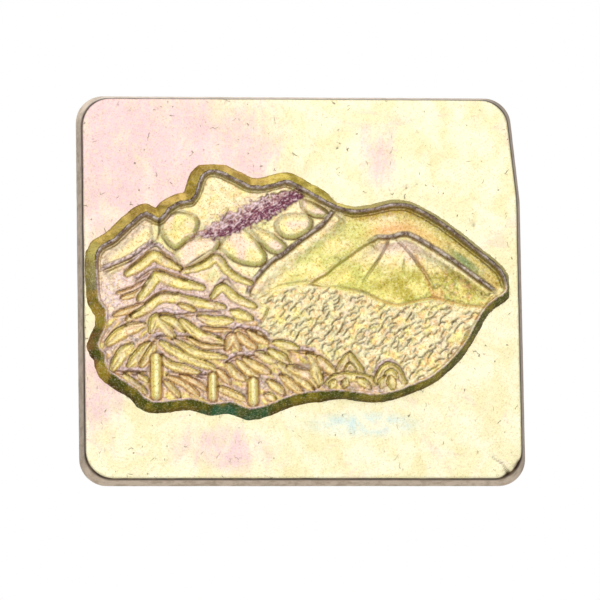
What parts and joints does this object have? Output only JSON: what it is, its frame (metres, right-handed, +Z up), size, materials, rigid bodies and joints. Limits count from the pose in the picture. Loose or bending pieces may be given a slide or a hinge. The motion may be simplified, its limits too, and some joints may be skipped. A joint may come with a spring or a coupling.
{
  "type": "lapel pin",
  "caption": "Rectangular metal lapel pin with a raised mountain and forest landscape on its face, and pointed posts with butterfly clutches on its back.",
  "frame": {"origin": "centre of the plate's back face, which lies against the garment", "axes": "the pin stands upright as it is worn: +Y points out of the plate's back into the garment, so the relief faces -Y; +X is to the right of a person looking at the relief, along the plate's long side; +Z is up"},
  "size_m": [0.0388, 0.0115, 0.0344],
  "materials": {
    "zinc_plate": "iridescent yellow zinc plating, worn",
    "zinc_relief": "iridescent yellow zinc plating with dark lines",
    "post_metal": "bright drawn nickel-plated wire",
    "solder": "dull tin solder",
    "clutch_brass": "pressed brass, light wear",
    "wing_brass": "spring brass, satin"
  },
  "bodies": {
    "pin": {"backing_plate": "zinc_plate", "landscape_relief": "zinc_relief", "post_left": "post_metal", "post_right": "post_metal", "solder_fillet_left": "solder", "solder_fillet_right": "solder"},
    "clutch_left": {"clutch_face_left": "clutch_brass", "clutch_dome_left": "clutch_brass"},
    "wing_upper_left": {"clutch_wing_upper_left": "wing_brass"},
    "wing_lower_left": {"clutch_wing_lower_left": "wing_brass"},
    "clutch_right": {"clutch_face_right": "clutch_brass", "clutch_dome_right": "clutch_brass"},
    "wing_upper_right": {"clutch_wing_upper_right": "wing_brass"},
    "wing_lower_right": {"clutch_wing_lower_right": "wing_brass"}
  },
  "joints": [
    {"name": "clutch_slide_left", "type": "slide", "parent": "pin", "child": "clutch_left", "axis": [0, 1, 0], "range_m": [0, 0.009]},
    {"name": "wing_pinch_upper_left", "type": "hinge", "parent": "clutch_left", "child": "wing_upper_left", "pos_m": [-0.00861, 0.00405, 0.00421], "axis": [-0.9781, 0, 0.2079], "range_deg": [0, 12], "stiffness_Nm_per_rad": 0.02},
    {"name": "wing_pinch_lower_left", "type": "hinge", "parent": "clutch_left", "child": "wing_lower_left", "pos_m": [-0.01039, 0.00405, -0.00421], "axis": [0.9781, 0, -0.2079], "range_deg": [0, 12], "stiffness_Nm_per_rad": 0.02},
    {"name": "clutch_slide_right", "type": "slide", "parent": "pin", "child": "clutch_right", "axis": [0, 1, 0], "range_m": [0, 0.009]},
    {"name": "wing_pinch_upper_right", "type": "hinge", "parent": "clutch_right", "child": "wing_upper_right", "pos_m": [0.0089, 0.00405, 0.00426], "axis": [-0.9903, 0, -0.1392], "range_deg": [0, 12], "stiffness_Nm_per_rad": 0.02},
    {"name": "wing_pinch_lower_right", "type": "hinge", "parent": "clutch_right", "child": "wing_lower_right", "pos_m": [0.0101, 0.00405, -0.00426], "axis": [0.9903, 0, 0.1392], "range_deg": [0, 12], "stiffness_Nm_per_rad": 0.02}
  ],
  "couplings": [
    {"joint": "wing_pinch_lower_left", "follows": "wing_pinch_upper_left", "ratio": 1},
    {"joint": "wing_pinch_lower_right", "follows": "wing_pinch_upper_right", "ratio": 1}
  ]
}
